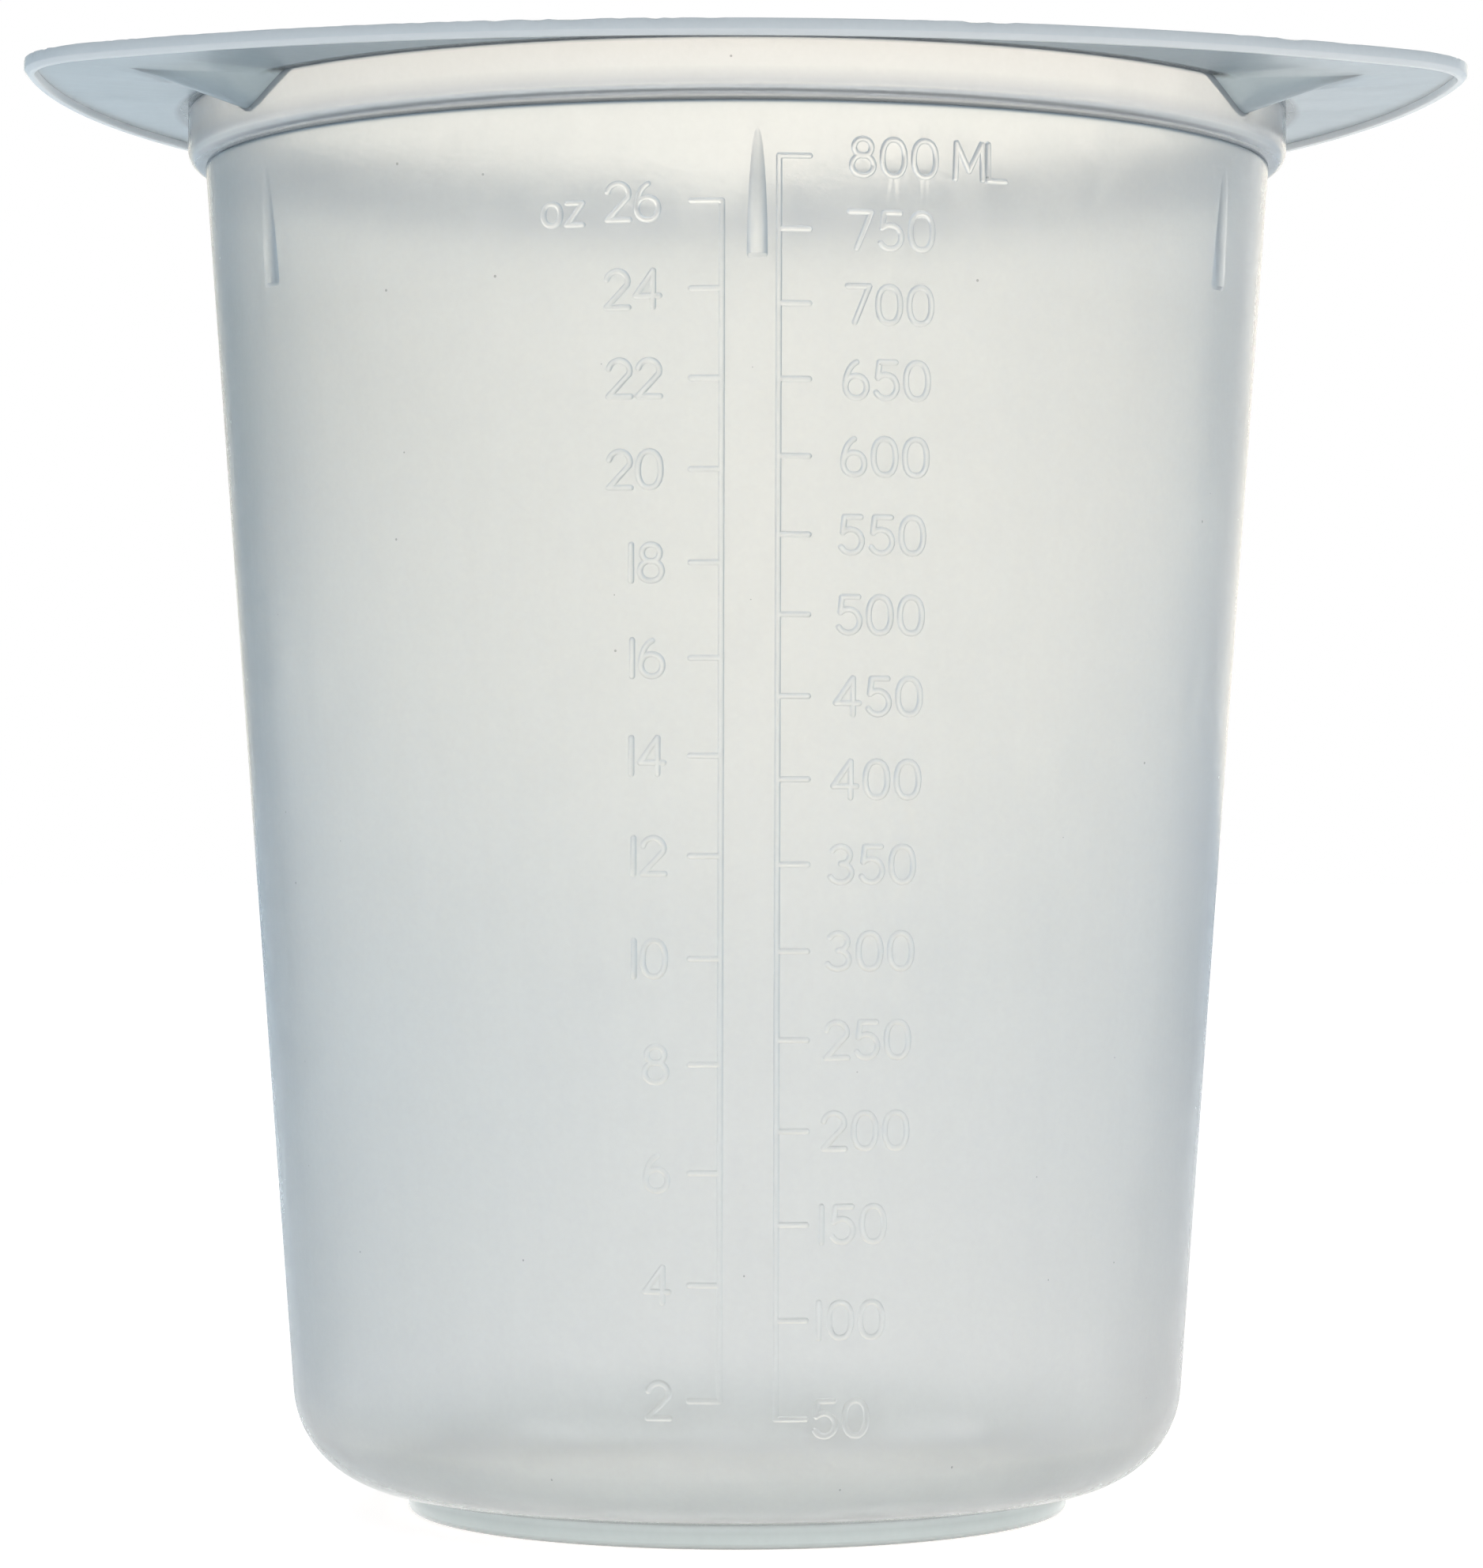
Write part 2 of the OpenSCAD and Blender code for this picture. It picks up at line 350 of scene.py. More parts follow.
# ------------------------------------------------- raised scales and numerals
def oval(cx, cy, w, h, n=20, p=2.3):
    a = np.linspace(0, 2 * math.pi, n, endpoint=False)
    c, s = np.cos(a), np.sin(a)
    x = cx + w * np.sign(c) * np.abs(c) ** (2 / p)
    y = cy + h * np.sign(s) * np.abs(s) ** (2 / p)
    return [(float(u), float(v)) for u, v in zip(x, y)]


def ring(*args, **kw):
    pts = oval(*args, **kw)
    return pts + [pts[0]]


def bow(cx, cy, w, h, a0, a1, n=12):
    a = np.radians(np.linspace(a0, a1, n))
    return [(cx + w * math.cos(x), cy + h * math.sin(x)) for x in a]


# Single-stroke numerals, 2.1 wide and 3.2 tall, in millimetres
GLYPHS = {
    "0": (2.05, [ring(1.02, 1.6, 1.0, 1.6)]),
    "1": (0.3, [[(0.15, 0), (0.15, 3.2)]]),
    "2": (2.0, [bow(1.0, 2.28, 0.93, 0.92, 168, -18, 12) + [(0.05, 0.02), (2.0, 0.02)]]),
    "3": (1.95, [bow(0.9, 2.42, 0.85, 0.78, 150, -88, 12) + bow(0.88, 0.84, 1.0, 0.84, 88, -155, 14)]),
    "4": (2.1, [[(1.55, 0), (1.55, 3.2), (0.0, 1.0), (2.1, 1.0)]]),
    "5": (1.95, [[(1.8, 3.18), (0.35, 3.18), (0.2, 1.78)] + bow(0.92, 1.05, 1.0, 1.05, 128, -150, 15)]),
    "6": (1.95, [ring(0.98, 0.98, 0.95, 0.98, p=2.1), bow(1.35, 1.05, 1.32, 2.15, 105, 178, 9)]),
    "7": (1.95, [[(0.02, 3.18), (1.95, 3.18), (0.65, 0)]]),
    "8": (1.95, [ring(0.98, 0.88, 0.97, 0.88, p=2.1), ring(0.98, 2.46, 0.78, 0.74, p=2.1)]),
    "M": (2.5, [[(0, 0), (0.1, 3.2), (1.25, 0.75), (2.4, 3.2), (2.5, 0)]]),
    "L": (1.6, [[(0, 3.2), (0, 0), (1.6, 0)]]),
    "o": (1.5, [ring(0.75, 0.95, 0.75, 0.95)]),
    "z": (1.4, [[(0.05, 1.9), (1.4, 1.9), (0.0, 0.0), (1.4, 0.0)]]),
}


def word(text, x, z, gap=0.76, right=False):
    """Strokes of a number, with its middle at height z and its left edge (or right edge) at x."""
    width = sum(GLYPHS[c][0] for c in text) + gap * (len(text) - 1)
    at = x - width if right else x
    out = []
    for c in text:
        w, strokes = GLYPHS[c]
        tall = 3.2
        for s in strokes:
            out.append([(at + px, z - tall / 2 + pz) for px, pz in s])
        at += w + gap
    return out


ML = {v: mark_z(v) for v in range(50, 801, 50)}
OZ = {v: mark_z(v * 29.5735) for v in range(2, 27, 2)}
strokes = []
z_lo, z_hi = ML[50], ML[800]
strokes.append([(ML_X, z_lo), (ML_X, z_hi)])
for v, z in ML.items():
    strokes.append([(ML_X, z), (ML_X + TICK_L, z)])
    strokes += word(str(v), 5.35 + 2.95 * (z - z_lo) / (z_hi - z_lo), z)
strokes += word("ML", 17.6, ML[800], gap=0.5)
strokes.append([(-OZ_X, OZ[2]), (-OZ_X, OZ[26])])
for v, z in OZ.items():
    strokes.append([(-OZ_X, z), (-OZ_X - TICK_L, z)])
    strokes += word(str(v), -7.5 - 1.15 * (z - OZ[2]) / (OZ[26] - OZ[2]), z, right=True, gap=0.6)
strokes += word("oz", -15.3, OZ[26] - 0.3, gap=0.55, right=True)

SEG = np.array([[*a, *b] for s in strokes for a, b in zip(s[:-1], s[1:])], float)
D0, D1, D2 = 0.27, 0.19, 0.09
GUARD = 0.07  # keeps each mark's shading to itself
H1 = 0.72


def stroke_distance(p):
    """Distance from points to the nearest stroke."""
    p = np.asarray(p, float)
    best = np.full(len(p), 1e9)
    a, b = SEG[:, :2], SEG[:, 2:]
    ab = b - a
    ll = np.maximum((ab**2).sum(1), 1e-12)
    for i in range(0, len(p), 2000):
        q = p[i:i + 2000, None, :]
        t = np.clip(((q - a) * ab).sum(2) / ll, 0, 1)
        d = np.sqrt(((q - a - t[..., None] * ab) ** 2).sum(2))
        best[i:i + 2000] = d.min(1)
    return best


def stroke_height(d, x, z):
    """The moulded marks stand a little prouder near the top, and less on the ounce side."""
    full = MARK_H * np.interp(z, [12, 30, 60, 100], [0.30, 0.42, 0.62, 0.78]) * np.where(x < 0, 0.78, 1.0)
    return full * np.interp(d, [0, D2, D1, D0], [1, 1, H1, 0.0])


def fat_outline(line, d):
    """Closed outline round a polyline at distance d, with round ends. Two outlines if the line is closed."""
    p = np.array(line, float)
    closed = np.linalg.norm(p[0] - p[-1]) < 1e-6
    if closed:
        p = p[:-1]
        nxt, prv = np.roll(p, -1, 0), np.roll(p, 1, 0)
        t = nxt - prv
        t /= np.linalg.norm(t, axis=1)[:, None]
        n = np.stack([-t[:, 1], t[:, 0]], 1)
        return [(p + n * d, True), (p - n * d, True)]
    sides = []
    for sgn in (1, -1):
        out = []
        for i in range(len(p)):
            if i == 0:
                t = p[1] - p[0]
            elif i == len(p) - 1:
                t = p[-1] - p[-2]
            else:
                u, v = p[i] - p[i - 1], p[i + 1] - p[i]
                u, v = u / np.linalg.norm(u), v / np.linalg.norm(v)
                t = u + v
                turn = (u[0] * v[1] - u[1] * v[0]) * sgn
                bend = math.acos(np.clip(u @ v, -1, 1))
                if bend > 0.6:
                    if turn < 0:  # outer side: round the corner
                        nu, nv = np.array([-u[1], u[0]]) * sgn, np.array([-v[1], v[0]]) * sgn
                        k = max(2, int(bend / 0.5))
                        for j in range(k + 1):
                            w = nu * (1 - j / k) + nv * (j / k)
                            out.append(p[i] + w / np.linalg.norm(w) * d)
                        continue
                    t = t / max(np.linalg.norm(t), 1e-9)
                    n = np.array([-t[1], t[0]]) * sgn
                    out.append(p[i] + n * d / max(math.cos(bend / 2), 0.35))
                    continue
            t = t / np.linalg.norm(t)
            out.append(p[i] + np.array([-t[1], t[0]]) * sgn * d)
        sides.append(out)
    left, right = sides
    ends = []
    for q, t in ((p[-1], p[-1] - p[-2]), (p[0], p[0] - p[1])):
        t = t / np.linalg.norm(t)
        n = np.array([-t[1], t[0]])
        ends.append([q + d * (n * math.cos(a) + t * math.sin(a)) for a in np.radians([36, 72, 108, 144])])
    loop = left + ends[0] + right[::-1] + ends[1]
    return [(np.array(loop), True)]


RM = 47.5  # radius at which the patch is laid flat
CONE_Z = HEEL_Z - HEEL_R * math.sin(ALPHA)  # the wall's cone starts here, above the heel's arc


def on_wall(w):
    """Outer wall at profile coordinate w: radius, height and outward normal. w is the height on the cone, and below
    the cone it goes on round the heel at the same rate along the surface."""
    if w >= CONE_Z:
        return wall_r(w), w, 1 / SQ, -K / SQ
    a = -ALPHA - (CONE_Z - w) * SQ / HEEL_R
    return HEEL_C + HEEL_R * math.cos(a), HEEL_Z + HEEL_R * math.sin(a), math.cos(a), math.sin(a)


def row_w(j):
    if j >= J_WALL0:
        return fixed_out[j][1]
    return CONE_Z - (J_WALL0 - j) * HEEL_STEP * HEEL_R / SQ


def flat(x, z):
    """Marks keep their distance from the front plane: to the flat patch."""
    return (math.asin(max(-0.95, min(0.95, x / on_wall(z)[0]))) * RM, z)


def unflat(u, z):
    return math.sin(u / RM) * on_wall(z)[0]


RIB_OUT = wall_r(RIB_Z + RIB_H)


def rib_half(z):
    d = wall_r(z) - (RIB_OUT - RIB_R)
    return math.sqrt(max(RIB_R**2 - d * d, 0.0)) if d < RIB_R else 0.0


def rib_height(x, z):
    if z < RIB_Z - 1e-6 or abs(x) >= RIB_R:
        return 0.0
    return max(0.0, RIB_OUT - RIB_R + math.sqrt(RIB_R**2 - x * x) - wall_r(z))


def rib_lines():
    """Lines of one rib in (x, z): up its length, across its flat end, and one round it."""
    zs = [RIB_Z, RIB_Z + 0.35, RIB_Z + 1.0] + list(np.linspace(RIB_Z + 2.0, RIB_Z + RIB_H - 0.9, 11)) + [RIB_Z + RIB_H - 0.45]
    tip = (0.0, RIB_Z + RIB_H - 0.02)
    lines = []
    fr = (-1, -0.86, -0.6, -0.3, 0, 0.3, 0.6, 0.86, 1)
    for f in fr:
        lines.append([(f * rib_half(z), z) for z in zs] + [tip])
    w = rib_half(RIB_Z)
    lines.append([(f * w, RIB_Z) for f in fr])
    lines.append([(f * w * 1.01, RIB_Z - 0.05) for f in fr])
    lines.append([(-w * 1.01, RIB_Z - 0.05), (-w, RIB_Z)])
    lines.append([(w * 1.01, RIB_Z - 0.05), (w, RIB_Z)])
    g = 0.09
    left = [(-rib_half(z) - g, z) for z in zs] + [(-g * 0.7, tip[1] + g * 0.7)]
    right = [(-x, z) for x, z in left]
    low = [(f * (w + g), RIB_Z - 0.05 - g) for f in fr]
    lines.append([left[0]] + [(low[0][0], low[0][1])] + low[1:] + [right[0]] + right[1:] + left[::-1])
    return lines


def divided(line):
    """A polyline with its long parts cut up, so that it follows the curve of the wall."""
    out = [line[0]]
    for (x0, z0), (x1, z1) in zip(line[:-1], line[1:]):
        n = max(1, math.ceil(max(abs(x1 - x0) / 0.42, abs(z1 - z0) / 1.6) - 0.05))
        out += [(x0 + (x1 - x0) * i / n, z0 + (z1 - z0) * i / n) for i in range(1, n + 1)]
    return out


def patch(c0, c1, j0, j1, centre, with_marks):
    """Triangles of one window of the outer wall, with marks and ribs raised on it.
    Returns points (column or None, row or None, u, z, height) and triangles."""
    pts, edges, keys = [], [], []

    def add(u, z, key=None):
        pts.append((u, z))
        keys.append(key)
        return len(pts) - 1

    def ang(i):
        a = math.radians(COLS[i % NC] + (360 if i >= NC else 0)) - centre
        return (a + math.pi) % (2 * math.pi) - math.pi

    wide, tall = (1.0, 1.0) if with_marks else (1.5, 0.28)
    zs = [row_w(j) for j in range(j0, j1 + 1)]
    border = [(i, j0) for i in range(c0, c1)] + [(c1, j) for j in range(j0, j1)]
    border += [(i, j1) for i in range(c1, c0, -1)] + [(c0, j) for j in range(j1, j0, -1)]
    first = len(pts)
    for i, j in border:
        add(ang(i) * RM, row_w(j), (i % NC, j))
    n = len(pts)
    edges += [(a, first + (a - first + 1) % (n - first)) for a in range(first, n)]
    lines = []
    if with_marks:
        for s in strokes:
            for d in (D0 + GUARD, D0, D1, D2):
                for loop, closed in fat_outline(s, d):
                    lines.append([tuple(q) for q in loop] + [tuple(loop[0])])
    lines += [[(x * wide, z) for x, z in line] for line in rib_lines()]
    allpts = []
    for line in lines:
        prev = None
        for x, z in divided(line):
            u, zz = flat(x, z)
            k = add(u, zz)
            allpts.append((u, zz))
            if prev is not None:
                edges.append((prev, k))
            prev = k
    # plain grid points for the wall's curve, kept off the marks
    grid = []
    u0, u1 = ang(c0) * RM, ang(c1) * RM
    step_u = math.radians(1.5) * RM
    gu = np.arange(u0 + step_u, u1 - 0.3 * step_u, step_u)
    gz = np.linspace(zs[0], zs[-1], max(3, int((zs[-1] - zs[0]) / 3.0) + 1))[1:-1]
    gg = np.array([(u, z) for u in gu for z in gz])
    ap = np.array(allpts)
    keep = []
    for i in range(0, len(gg), 500):
        d = np.sqrt(((gg[i:i + 500, None] - ap[None]) ** 2).sum(2)).min(1)
        keep += list(d > 0.35)
    for (u, z), ok in zip(gg, keep):
        if ok:
            add(u, z)
    vs, es, fs, ov, oe, of_ = delaunay_2d_cdt([Vector(p) for p in pts], edges, [], 0, 1e-5)
    out = []
    xz = [(unflat(v[0], v[1]), v[1]) for v in vs]
    xa, za = np.array(xz).T
    hs = stroke_height(stroke_distance(xz), xa, za) if with_marks else np.zeros(len(vs))
    for k, v in enumerate(vs):
        key = None
        for o in ov[k]:
            if keys[o] is not None:
                key = keys[o]
        x, z = xz[k]
        h = max(float(hs[k]), rib_height(x / wide, z) * tall)
        if h < 1e-4:
            h = 0.0
        out.append((key, v[0], v[1], h))
    return out, [tuple(f) for f in fs]


# ------------------------------------------------------------- build pieces
def lathe(column, closed):
    """Points of a piece from its profile at each direction, an empty face list and the number of points in a column;
    the caller makes the faces and closes an open profile with a fan on the axis.
    """
    verts, faces = [], []
    rows = [column(math.radians(a)) for a in COLS]
    n = len(rows[0])
    for a, pts in zip(COLS, rows):
        t = math.radians(a)
        for r, z in pts:
            verts.append(place(r, t, z))
    return verts, faces, n


windows = []


def col_at(deg):
    return int(np.argmin(np.abs(COLS - deg % 360)))


j_rib = J_WALL0 + max(j for j in range(N_WALL) if fixed_out[J_WALL0 + j][1] < RIB_Z - 1.5)
front0, front1 = col_at(-30), col_at(30) + NC
windows.append((front0, front1, J_WALL0 - 8, J_WALL1, 0.0, True))
for c in (60, 120, 180, 240, 300):
    windows.append((col_at(c - 3), col_at(c + 3), j_rib, J_WALL1, math.radians(c), False))
verts, faces, NP = lathe(cup_column, False)
hole = np.zeros((NC, NP), bool)
for c0, c1, j0, j1, *_ in windows:
    for i in range(c0, c1):
        hole[i % NC, j0:j1] = True
for i in range(NC):
    k = (i + 1) % NC
    for j in range(NP - 1):
        if not hole[i, j]:
            faces.append((i * NP + j, k * NP + j, k * NP + j + 1, i * NP + j + 1))
# middles of the underside and of the floor
under = len(verts)
verts.append((0, 0, FOOT_H * MM))
top = len(verts)
verts.append((0, 0, FLOOR_Z * MM))
for i in range(NC):
    k = (i + 1) % NC
    faces.append((under, k * NP, i * NP))
    faces.append((top, i * NP + NP - 1, k * NP + NP - 1))
used_mark = set()
for w in windows:
    centre = w[4]
    pts, tris = patch(*w)
    index = []
    for key, u, z, h in pts:
        if key is not None:
            index.append(key[0] * NP + key[1])
        else:
            index.append(len(verts))
            r, zz, nr, nz = on_wall(z)
            verts.append(place(r + h * nr, centre + u / RM, zz + h * nz))
            if h > 0 and w[5]:
                used_mark.add(len(verts) - 1)
    for tri in tris:
        q = [index[v] for v in tri]
        if len(set(q)) > 2:
            faces.append(tuple(q))


def mesh_object(name, verts, faces, smooth_angle=32, painted_light_values=None):
    me = bpy.data.meshes.new(name)
    me.from_pydata(verts, [], faces)
    # painted light and shade per point, kept as a colour attribute that the material multiplies into its tint
    if painted_light_values is not None:
        att = me.attributes.new("painted_light", "FLOAT_COLOR", "POINT")
        painted_light_rgba = np.ones((len(verts), 4), np.float32)
        painted_light_rgba[:len(painted_light_values), :3] = painted_light_values
        att.data.foreach_set("color", painted_light_rgba.ravel())
    me.validate(clean_customdata=False)
    import bmesh
    bm = bmesh.new()
    bm.from_mesh(me)
    loose = [v for v in bm.verts if not v.link_faces]
    bmesh.ops.delete(bm, geom=loose, context="VERTS")
    bmesh.ops.dissolve_degenerate(bm, dist=1e-7, edges=bm.edges[:])
    bmesh.ops.recalc_face_normals(bm, faces=bm.faces[:])
    lim = math.radians(smooth_angle)
    for f in bm.faces:
        f.smooth = True
    open_edges = 0
    for e in bm.edges:
        if len(e.link_faces) == 2:
            e.smooth = e.calc_face_angle(0) < lim
        else:
            open_edges += 1
    print("MESH", name, "verts", len(bm.verts), "faces", len(bm.faces), "open or odd edges", open_edges,
          "volume cm3", round(bm.calc_volume() * 1e6, 3))
    bm.to_mesh(me)
    bm.free()
    ob = bpy.data.objects.new(name, me)
    bpy.context.scene.collection.objects.link(ob)
    return ob


def steps(x, xs, values):
    """Colours read off a table by one number."""
    x = np.asarray(x, float)
    return np.stack([np.interp(x, xs, [v[i] for v in values]) for i in range(3)], -1)


def softer(a):
    """How strongly the painted shade in the corners under the rim shows, by direction from the front: fully at the
    front, less towards the back.
    """
    return 0.38 + 0.62 * np.maximum(np.cos(a), 0.0)


_z = np.array([v[2] for v in verts]) / MM
# painted light on the cup, by height: painted shade low on the heel, a little painted light just above it, a painted
# light band a little below the collar, and painted shade deepening into the crease under the collar
cup_painted_light = steps(_z, [2.95, 5.5, 7.4, 8.6, 10.8, 14.5, 114.0, 116.6, 118.6, 120.2, 121.8, 124.5, 127.3,
                       WALL_H - 0.3, WALL_H - 0.14, WALL_H - 0.02],
                  [(0.78, 0.81, 0.825), (0.81, 0.84, 0.855), (0.90, 0.92, 0.93), (1.04, 1.04, 1.04),
                   (1.05, 1.05, 1.05), (1, 1, 1), (0.97, 0.97, 0.97), (1.0, 1.0, 1.0), (1.08, 1.08, 1.08),
                   (1.05, 1.05, 1.05), (0.955, 0.96, 0.968), (0.84, 0.845, 0.857), (0.80, 0.805, 0.82),
                   (0.84, 0.845, 0.86), (0.5, 0.56, 0.62), (0.14, 0.20, 0.27)])
_r = np.hypot([v[0] for v in verts], [v[1] for v in verts]) / MM
# painted shade along the heel's lowest edge, where it sits on the foot
cup_painted_light[(_z < 3.12) & (_r > 31.5)] *= 0.72
_a = np.array([math.atan2(v[0], -v[1]) for v in verts])
# above 60 mm the painted shade on the cup weakens towards the back
_painted_shade_fade = np.where(_z > WALL_H - 0.45, softer(_a), softer(_a) ** 2)
cup_painted_light = np.where((_z[:, None] > 60) & (cup_painted_light < 1), cup_painted_light ** _painted_shade_fade[:, None], cup_painted_light)
# painted light: the right flank painted a little lighter, the left one darker near the top, both darker low down
_s = np.abs(np.sin(_a)) * (np.cos(_a) > -0.2)
_side = np.clip((_s - 0.45) / 0.4, 0, 1)
_edge = np.clip((_s - 0.68) / 0.22, 0, 1)
_high = np.clip((_z - 42) / 18, 0, 1) * np.clip((WALL_H - 0.4 - _z) / 3, 0, 1)
_top = np.clip((_z - 88) / 16, 0, 1) * np.clip((121.5 - _z) / 4, 0, 1)
_low = np.clip((_z - 7) / 6, 0, 1) * np.clip((50 - _z) / 18, 0, 1)
cup_painted_light *= (1 + 0.05 * _edge * _high * (np.sin(_a) > 0) - 0.04 * _side * _low
              - _top * np.where(np.sin(_a) < 0, 0.065 * _side, 0.03 * _side))[:, None]
cup = mesh_object("cup_body", verts, faces, painted_light_values=cup_painted_light)
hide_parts("cup_wall", "heel", "base_floor", "stacking_ribs", "ml_scale", "oz_scale")


def ring_piece(name, column, slot, *nodes, painted_light=None):
    verts, _, n = lathe(column, True)
    painted_light_values = np.ones((len(verts), 3))
    # painted light and shade per point, from the piece's own table
    if painted_light:
        for i in range(NC):
            for j in range(n):
                painted_light_values[i * n + j] = painted_light(j, verts[i * n + j][2] / MM, softer(math.radians(COLS[i])))
    faces = []
    for i in range(NC):
        k = (i + 1) % NC
        for j in range(n):
            m = (j + 1) % n
            faces.append((i * n + j, k * n + j, k * n + m, i * n + m))
    ob = mesh_object(name, verts, faces, painted_light_values=painted_light_values)
    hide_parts(*nodes)
    return ob


def foot_tone(j, z, a):
    """A painted highlight on its rounded lower edge and painted shade where it touches the bench."""
    k = np.interp(z, [0.0, 0.059, 0.131, 0.226, 0.34, 0.6, 0.8, 1.4, 1.9, 2.5, 2.95],
                  [0.35, 0.4, 0.55, 0.68, 0.85, 1.12, 1.2, 1.1, 1.33, 1.28, 1.05])
    return (k, k, k * 0.99)


def collar_tone(j, z, a):
    """Painted shade where the quarter-round tucks in over the wall, a painted highlight on the round just above it, and
    painted shade again higher up it.
    """
    k = np.interp(z, WALL_H + np.array([0, 0.12, 0.22, 0.34, 0.5, 0.66, 0.98, 1.12, 1.28, 1.45, 1.65, 1.85, 2.3, 2.9]),
                  [0.08, 0.12, 0.38, 0.55, 0.85, 1.4, 1.4, 1.02, 0.80, 0.77, 0.79, 0.86, 0.94, 1.0]) ** a
    if j in (25, 26):  # painted shade right under the plate
        k *= (1 - (0.4, 0.75)[j - 25] * min(max((z - PLATE_Z + 0.5) / 0.2, 0), 1)) ** a
    b = max(1 - k, 0)  # the deeper the painted shade, the bluer
    return (k * (1 - 0.16 * b), k * (1 - 0.03 * b), k * (1 + 0.14 * b))


def rim_tone(j, z, a):
    """Painted shade in the corner that the plate makes with the neck."""
    if 3 <= j <= 16:
        level = min(max((z - PLATE_Z + 0.3) / 0.28, 0), 1)  # 1 on the flat plate, 0 down in a channel
        dark = np.interp(j, [3, 8, 12, 16], [0.06, 0.12, 0.85, 0.95])
        k = (1 + (dark - 1) * level) ** a
        return (k * 0.98, k, k * 1.01)
    return (1.0, 1.0, 1.0)


def lip_tone(j, z, a):
    """Painted highlight on its rounded lower edge."""
    if 5 <= j <= 13:
        return (1.4, 1.34, 1.3)
    return (1.0, 1.0, 1.0)


foot = ring_piece("foot", foot_column, "milky_foot", "foot_ring", painted_light=foot_tone)
collar = ring_piece("collar", collar_column, "milky_wall", "shoulder_step", "neck_band", painted_light=collar_tone)
rim = ring_piece("rim_plate", rim_column, "milky_rim", "rim_flange", "pour_spout_left", "pour_spout_right",
                 "pour_spout_rear", painted_light=rim_tone)
lip = ring_piece("rim_bead", lip_column, "milky_rim", "rim_lip", painted_light=lip_tone)
PIECES = (cup, foot, collar, rim, lip)
for ob in PIECES:
    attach(ob, "root")


# ---------------------------------------------------------------- materials
def nodes_of(mat):
    mat.use_nodes = True
    nt = mat.node_tree
    nt.nodes.clear()
    return nt, nt.nodes, nt.links


def plastic(name, tint, rough=0.2, clear=0.7, glow=0.0015, specks=True):
    """Natural polypropylene: milky, half clear, with flow streaks, grain and the odd speck."""
    mat = bpy.data.materials.new(name)
    nt, N, L = nodes_of(mat)

    def math_(op, a, b=None, c=None, clamp=False):
        m = N.new("ShaderNodeMath")
        m.operation = op
        m.use_clamp = clamp
        for i, v in enumerate((a, b, c)):
            if v is None:
                continue
            if isinstance(v, (int, float)):
                m.inputs[i].default_value = v
            else:
                L.new(v, m.inputs[i])
        return m.outputs[0]

    def mapped(v, lo, hi, to_lo, to_hi):
        m = N.new("ShaderNodeMapRange")
        L.new(v, m.inputs[0])
        for i, x in enumerate((lo, hi, to_lo, to_hi)):
            m.inputs[i + 1].default_value = x
        return m.outputs[0]

    def noise(vec, scale, detail=2.0, rough_=0.5, distort=0.0):
        n = N.new("ShaderNodeTexNoise")
        L.new(vec, n.inputs["Vector"])
        n.inputs["Scale"].default_value = scale
        n.inputs["Detail"].default_value = detail
        n.inputs["Roughness"].default_value = rough_
        n.inputs["Distortion"].default_value = distort
        return n.outputs["Fac"]

    out = N.new("ShaderNodeOutputMaterial")
    b = N.new("ShaderNodeBsdfPrincipled")
    coord = N.new("ShaderNodeTexCoord")
    xyz = N.new("ShaderNodeSeparateXYZ")
    L.new(coord.outputs["Object"], xyz.inputs[0])
    # unrolled: metres round the wall, and height
    turn = math_("MULTIPLY", math_("ARCTAN2", xyz.outputs[0], math_("MULTIPLY", xyz.outputs[1], -1.0)), 0.0475)
    unrolled = N.new("ShaderNodeCombineXYZ")
    L.new(turn, unrolled.inputs[0])
    L.new(xyz.outputs[2], unrolled.inputs[1])
    stretched = N.new("ShaderNodeCombineXYZ")
    L.new(turn, stretched.inputs[0])
    L.new(math_("MULTIPLY", xyz.outputs[2], 0.09), stretched.inputs[1])

    streak = noise(stretched.outputs[0], 260.0, 3.0, 0.55, 0.3)
    cloud = noise(coord.outputs["Object"], 42.0, 3.0, 0.5, 0.2)
    grain = noise(coord.outputs["Object"], 1500.0, 2.0, 0.6)
    value = math_("ADD", mapped(streak, 0.3, 0.7, -0.010, 0.010), mapped(cloud, 0.3, 0.7, -0.012, 0.012))
    value = math_("ADD", value, mapped(grain, 0.3, 0.7, -0.012, 0.012))
    value = math_("ADD", value, 1.0)
    if specks:
        v = N.new("ShaderNodeTexVoronoi")
        v.voronoi_dimensions = "2D"
        v.inputs["Scale"].default_value = 95.0
        L.new(unrolled.outputs[0], v.inputs["Vector"])
        pick = N.new("ShaderNodeSeparateXYZ")
        L.new(v.outputs["Color"], pick.inputs[0])
        size = mapped(pick.outputs[1], 0.0, 1.0, 0.004, 0.013)
        dot = math_("LESS_THAN", v.outputs["Distance"], size)
        dot = math_("MULTIPLY", dot, math_("GREATER_THAN", pick.outputs[0], 0.72))
        value = math_("MULTIPLY", value, math_("SUBTRACT", 1.0, math_("MULTIPLY", dot, 0.45)))

    # painted light and shade, read from the points' attribute and multiplied into the tint
    painted_light = N.new("ShaderNodeAttribute")
    painted_light.attribute_type = "GEOMETRY"
    painted_light.attribute_name = "painted_light"
    plain = N.new("ShaderNodeRGB")
    plain.outputs[0].default_value = (*tint, 1)
    first = N.new("ShaderNodeMix")
    first.data_type, first.blend_type = "RGBA", "MULTIPLY"
    first.inputs[0].default_value = 1.0
    L.new(plain.outputs[0], first.inputs[6])
    L.new(painted_light.outputs["Color"], first.inputs[7])
    grey = N.new("ShaderNodeCombineColor")
    for i in range(3):
        L.new(value, grey.inputs[i])
    second = N.new("ShaderNodeMix")
    second.data_type, second.blend_type = "RGBA", "MULTIPLY"
    second.clamp_result = True
    second.inputs[0].default_value = 1.0
    L.new(first.outputs[2], second.inputs[6])
    L.new(grey.outputs[0], second.inputs[7])
    L.new(second.outputs[2], b.inputs["Base Color"])

